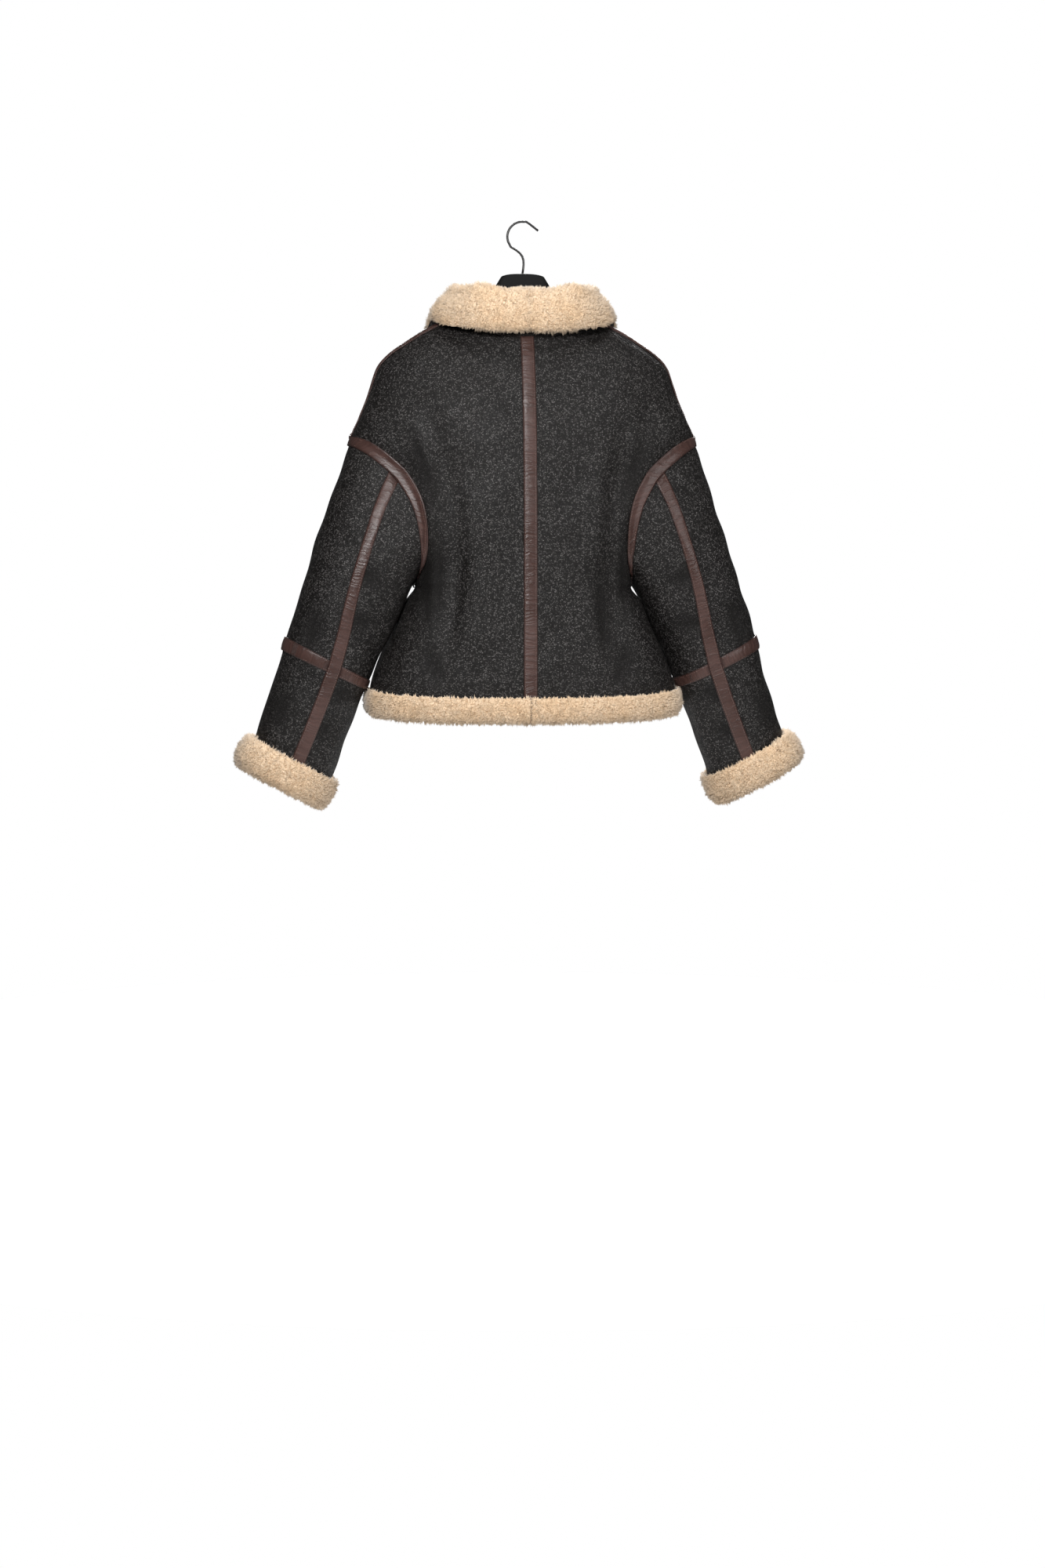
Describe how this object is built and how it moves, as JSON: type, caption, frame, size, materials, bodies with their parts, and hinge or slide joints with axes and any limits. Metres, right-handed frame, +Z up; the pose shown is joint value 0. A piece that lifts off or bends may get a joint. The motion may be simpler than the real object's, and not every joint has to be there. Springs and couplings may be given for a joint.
{
  "type": "shearling jacket on a coat hanger",
  "caption": "Cropped shearling jacket on a broad hanger: dark leather panels, brown strips over the seams, wool collar, cuffs and hem, zip front.",
  "frame": {"origin": "inside of the hook's bend, where it rests on a rail", "axes": "+Z up, +Y the way the wearer faces (the zip side), +X to the wearer's right; the picture shows the -Y side"},
  "size_m": [0.8498, 0.243, 0.8678],
  "materials": {
    "black_leather": "pebbled, semi-gloss",
    "brown_leather": "glossy",
    "wool": "curly shorn wool",
    "zip_tape": "woven tape",
    "zip_metal": "worn",
    "hanger_black": "matte",
    "hook_metal": "dark"
  },
  "bodies": {
    "jacket": {"armhole_strip_left": "brown_leather", "armhole_strip_right": "brown_leather", "back_left": "black_leather", "back_right": "black_leather", "back_strip": "brown_leather", "collar_left": "wool", "collar_right": "wool", "cuff_left": "wool", "cuff_right": "wool", "elbow_strip_left": "brown_leather", "elbow_strip_right": "brown_leather", "front_left": "black_leather", "front_right": "black_leather", "hanger_body": "hanger_black", "hanger_hook": "hook_metal", "hem_back_left": "wool", "hem_back_right": "wool", "hem_front_left": "wool", "hem_front_right": "wool", "neck_band": "black_leather", "shoulder_strip_left": "brown_leather", "shoulder_strip_right": "brown_leather", "sleeve_lower_inner_left": "black_leather", "sleeve_lower_inner_right": "black_leather", "sleeve_lower_outer_left": "black_leather", "sleeve_lower_outer_right": "black_leather", "sleeve_strip_left": "brown_leather", "sleeve_strip_right": "brown_leather", "sleeve_upper_inner_left": "black_leather", "sleeve_upper_inner_right": "black_leather", "sleeve_upper_outer_left": "black_leather", "sleeve_upper_outer_right": "black_leather", "zip_chain": "zip_metal", "zip_slider": "zip_metal", "zip_tape_left": "zip_tape", "zip_tape_right": "zip_tape"},
    "pull": {"zip_pull": "zip_metal"}
  },
  "joints": [
    {"name": "pull_swing", "type": "hinge", "parent": "jacket", "child": "pull", "pos_m": [0, 0.08827, -0.26092], "axis": [1, 0, 0], "range_deg": [0, 120]}
  ]
}
